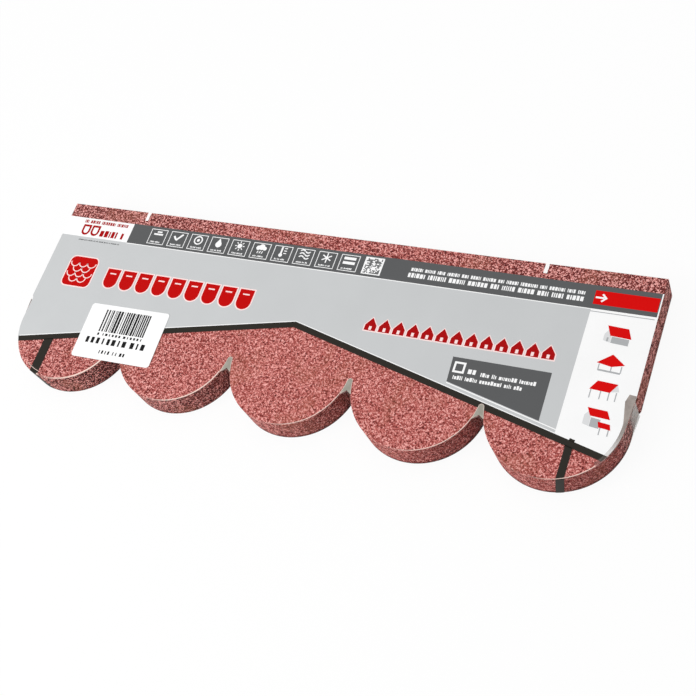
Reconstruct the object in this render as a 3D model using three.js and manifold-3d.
// Bundle of round-tab (beaver-tail) bitumen roof shingles: fourteen strip shingles laid square on
// one another, a thin film sleeve shrunk round them, and one paper label on top.
// Millimetres, +Z up. The origin is the middle of the bundle's footprint, on the level it lies on.
// +X runs along the strips, +Y points to their straight back edge, the round tabs point to -Y.

import * as THREE from "three";
import { mergeVertices } from "three/addons/utils/BufferGeometryUtils.js";
import Module from "manifold-3d";

// ---- Driving dimensions -------------------------------------------------------------------

const SHINGLE_COUNT = 14;
const SHINGLE_THICKNESS = 3;
const LAYER_GAP = 0.25; // between one strip and the next

const TAB_COUNT = 5;
const TAB_PITCH = 200;
const STRIP_DEPTH = 317; // straight back edge to the lowest point of the tabs
const SLOT_WIDTH = 6; // between two tabs where they are widest
const SLOT_DEPTH = 90; // from the lowest point of the tabs up to the end of a slot
const END_STEP_HEIGHT = 5; // slanted shoulder where an end tab steps in from the strip's end
const END_STEP_Y = -22; // its upper corner

const NOTCH_WIDTH = 5.5; // laying marks cut into the back edge
const NOTCH_DEPTH = 16;
const NOTCH_FROM_LEFT = 150;
const NOTCH_FROM_RIGHT = 170;

const FILM_THICKNESS = 0.25;
const FILM_CLEARANCE = 0.25; // between the strips and the film all round
const FILM_PINCH = 19; // how far below a slot's end the film comes to a point

const LABEL_WIDTH = 146;
const LABEL_HEIGHT = 95;
const LABEL_THICKNESS = 0.25;
const LABEL_CORNER = 5;
const LABEL_PAST_SLOT = -4; // its middle, to the right of the first slot's line
const LABEL_FROM_BACK = 223; // and from the strips' straight back edge
const LABEL_TURN = THREE.MathUtils.degToRad(1);
const LABEL_CLEARANCE = 0.25; // between the film and the label's glued face

const TAB_SEGMENTS = 22; // facets round each tab
const SLOT_SEGMENTS = 4; // facets round the end of each slot
const CORNER_SEGMENTS = 4; // facets round each corner of the label

// ---- Places worked out from them ----------------------------------------------------------

const halfLength = (TAB_COUNT * TAB_PITCH) / 2;
const halfDepth = STRIP_DEPTH / 2;
const tabRadius = (TAB_PITCH - SLOT_WIDTH) / 2;
const tabCentreY = tabRadius - halfDepth;
const stackBottom = FILM_THICKNESS + FILM_CLEARANCE;
const layerPitch = SHINGLE_THICKNESS + LAYER_GAP;
const stackTop = stackBottom + SHINGLE_COUNT * layerPitch - LAYER_GAP;
const filmTop = stackTop + FILM_CLEARANCE + FILM_THICKNESS;
const slotEndY = SLOT_DEPTH - halfDepth;

const tabCentresX = Array.from(
  { length: TAB_COUNT },
  (_, i) => (i + 0.5) * TAB_PITCH - halfLength,
);

// ---- Materials ----------------------------------------------------------------------------

const granules = new THREE.MeshStandardMaterial({ color: 0xb96a62, roughness: 0.95 });
const clearFilm = new THREE.MeshStandardMaterial({
  color: 0xc8c9cb,
  roughness: 0.35,
  transparent: true,
  opacity: 0.4,
});
const labelPaper = new THREE.MeshStandardMaterial({ color: 0xf4f4f4, roughness: 0.6 });

// ---- Shingle strips -----------------------------------------------------------------------

// A strip from above, anticlockwise: along the round tabs from left to right, then back along
// the straight edge with its two notches.
function shingleOutline() {
  const capY = slotEndY - SLOT_WIDTH / 2; // where a slot's round end begins
  const dip = Math.asin((tabCentreY - capY) / tabRadius);
  const capRadius = TAB_PITCH / 2 - tabRadius * Math.cos(dip);
  const shape = new THREE.Shape();
  shape.moveTo(-halfLength, END_STEP_Y);
  shape.lineTo(SLOT_WIDTH / 2 - halfLength, END_STEP_Y - END_STEP_HEIGHT);
  tabCentresX.forEach((x, i) => {
    const from = i === 0 ? Math.PI : Math.PI + dip;
    const to = i === TAB_COUNT - 1 ? 2 * Math.PI : 2 * Math.PI - dip;
    arcPoints(x, tabCentreY, tabRadius, from, to, TAB_SEGMENTS).forEach((p) => shape.lineTo(p.x, p.y));
    if (i < TAB_COUNT - 1) {
      const end = arcPoints(x + TAB_PITCH / 2, capY, capRadius, Math.PI, 0, SLOT_SEGMENTS);
      end.slice(1, -1).forEach((p) => shape.lineTo(p.x, p.y));
    }
  });
  shape.lineTo(halfLength - SLOT_WIDTH / 2, END_STEP_Y - END_STEP_HEIGHT);
  shape.lineTo(halfLength, END_STEP_Y);
  shape.lineTo(halfLength, halfDepth);
  for (const x of [halfLength - NOTCH_FROM_RIGHT, NOTCH_FROM_LEFT - halfLength]) {
    shape.lineTo(x + NOTCH_WIDTH / 2, halfDepth);
    shape.lineTo(x + NOTCH_WIDTH / 2, halfDepth - NOTCH_DEPTH);
    shape.lineTo(x - NOTCH_WIDTH / 2, halfDepth - NOTCH_DEPTH);
    shape.lineTo(x - NOTCH_WIDTH / 2, halfDepth);
  }
  shape.lineTo(-halfLength, halfDepth);
  shape.closePath();
  return shape;
}

// Points of a circular arc, both ends included.
function arcPoints(x, y, radius, from, to, segments) {
  return Array.from({ length: segments + 1 }, (_, i) => {
    const angle = from + ((to - from) * i) / segments;
    return new THREE.Vector2(x + radius * Math.cos(angle), y + radius * Math.sin(angle));
  });
}

function shingleStack() {
  const group = new THREE.Group();
  const strip = new THREE.ExtrudeGeometry(shingleOutline(), {
    depth: SHINGLE_THICKNESS,
    bevelEnabled: false,
  });
  for (let i = 0; i < SHINGLE_COUNT; i++) {
    const mesh = new THREE.Mesh(strip, granules);
    mesh.name = "shingle_" + String(i + 1).padStart(2, "0");
    mesh.position.z = stackBottom + i * layerPitch;
    group.add(mesh);
  }
  return group;
}

// ---- Film sleeve --------------------------------------------------------------------------

// Where the taut film leaves a tab for a point beside it. side is +1 when the point lies to the
// right of the tab's centre and -1 to its left; the outward normal there holds along the free
// stretch too.
function tangentTo(centreX, point, side) {
  const toPoint = new THREE.Vector2(point.x - centreX, point.y - tabCentreY);
  const turn = Math.acos(tabRadius / toPoint.length());
  const angle = toPoint.angle() - side * turn;
  return { angle, normal: new THREE.Vector2(Math.cos(angle), Math.sin(angle)) };
}

// The film from above at a distance offset outside the strips: it hugs each tab, runs straight
// to a point between two tabs, and at the ends to the corner of the shoulder. endX is where the
// outline stops at each end.
function filmOutline(offset, endX) {
  const pinchY = slotEndY - FILM_PINCH;
  const shape = new THREE.Shape();
  const endPoint = (side, normal) => {
    const y = END_STEP_Y + (offset - normal.x * side * (endX - halfLength)) / normal.y;
    return new THREE.Vector2(side * endX, y);
  };
  tabCentresX.forEach((x, i) => {
    const first = i === 0;
    const last = i === TAB_COUNT - 1;
    const leftPoint = new THREE.Vector2(x - TAB_PITCH / 2, first ? END_STEP_Y : pinchY);
    const rightPoint = new THREE.Vector2(x + TAB_PITCH / 2, last ? END_STEP_Y : pinchY);
    const left = tangentTo(x, leftPoint, -1);
    const right = tangentTo(x, rightPoint, 1);
    const to = right.angle > left.angle ? right.angle : right.angle + 2 * Math.PI;
    if (first) {
      const start = endPoint(-1, left.normal);
      shape.moveTo(start.x, start.y);
    }
    const tab = arcPoints(x, tabCentreY, tabRadius + offset, left.angle, to, TAB_SEGMENTS);
    tab.forEach((p) => shape.lineTo(p.x, p.y));
    if (last) {
      const end = endPoint(1, right.normal);
      shape.lineTo(end.x, end.y);
    } else {
      shape.lineTo(rightPoint.x, pinchY + offset / right.normal.y);
    }
  });
  shape.lineTo(endX, halfDepth + offset);
  shape.lineTo(-endX, halfDepth + offset);
  shape.closePath();
  return shape;
}

// One sleeve, open at its two ends: the outer block less everything inside the film.
function filmSleeve(solids) {
  const outside = FILM_CLEARANCE + FILM_THICKNESS;
  const pastEnd = TAB_PITCH / 20;
  const block = solids.from(
    prism(filmOutline(outside, halfLength), 0, filmTop),
  );
  const room = solids.from(
    prism(filmOutline(FILM_CLEARANCE, halfLength + pastEnd), FILM_THICKNESS, filmTop - FILM_THICKNESS),
  );
  const mesh = new THREE.Mesh(solids.toGeometry(block.subtract(room)), clearFilm);
  mesh.name = "film_wrap";
  return mesh;
}

function prism(outline, fromZ, toZ) {
  const geometry = new THREE.ExtrudeGeometry(outline, { depth: toZ - fromZ, bevelEnabled: false });
  return geometry.translate(0, 0, fromZ);
}

// ---- Label --------------------------------------------------------------------------------

function paperLabel() {
  const shape = new THREE.Shape();
  const x = LABEL_WIDTH / 2 - LABEL_CORNER;
  const y = LABEL_HEIGHT / 2 - LABEL_CORNER;
  const corners = [[x, y], [-x, y], [-x, -y], [x, -y]];
  const outline = corners.flatMap(([cx, cy], i) =>
    arcPoints(cx, cy, LABEL_CORNER, (i * Math.PI) / 2, ((i + 1) * Math.PI) / 2, CORNER_SEGMENTS),
  );
  shape.setFromPoints(outline);
  const mesh = new THREE.Mesh(prism(shape, 0, LABEL_THICKNESS), labelPaper);
  mesh.name = "paper_label";
  mesh.position.set(
    tabCentresX[0] + TAB_PITCH / 2 + LABEL_PAST_SLOT,
    halfDepth - LABEL_FROM_BACK,
    filmTop + LABEL_CLEARANCE,
  );
  mesh.rotation.z = LABEL_TURN;
  return mesh;
}

// ---- Booleans -----------------------------------------------------------------------------

async function loadSolids() {
  const wasm = await Module();
  wasm.setup();
  return {
    from(geometry) {
      geometry.deleteAttribute("normal");
      geometry.deleteAttribute("uv");
      const merged = mergeVertices(geometry, 1e-4);
      return new wasm.Manifold(
        new wasm.Mesh({
          numProp: 3,
          vertProperties: merged.attributes.position.array,
          triVerts: new Uint32Array(merged.index.array),
        }),
      );
    },
    toGeometry(solid) {
      const { vertProperties, triVerts } = solid.getMesh();
      const geometry = new THREE.BufferGeometry();
      geometry.setAttribute("position", new THREE.BufferAttribute(vertProperties, 3));
      geometry.setIndex(new THREE.BufferAttribute(triVerts, 1));
      return geometry;
    },
  };
}

// ---- The bundle ---------------------------------------------------------------------------

const bundle = new THREE.Group();
bundle.add(shingleStack(), filmSleeve(await loadSolids()), paperLabel());

export default bundle;
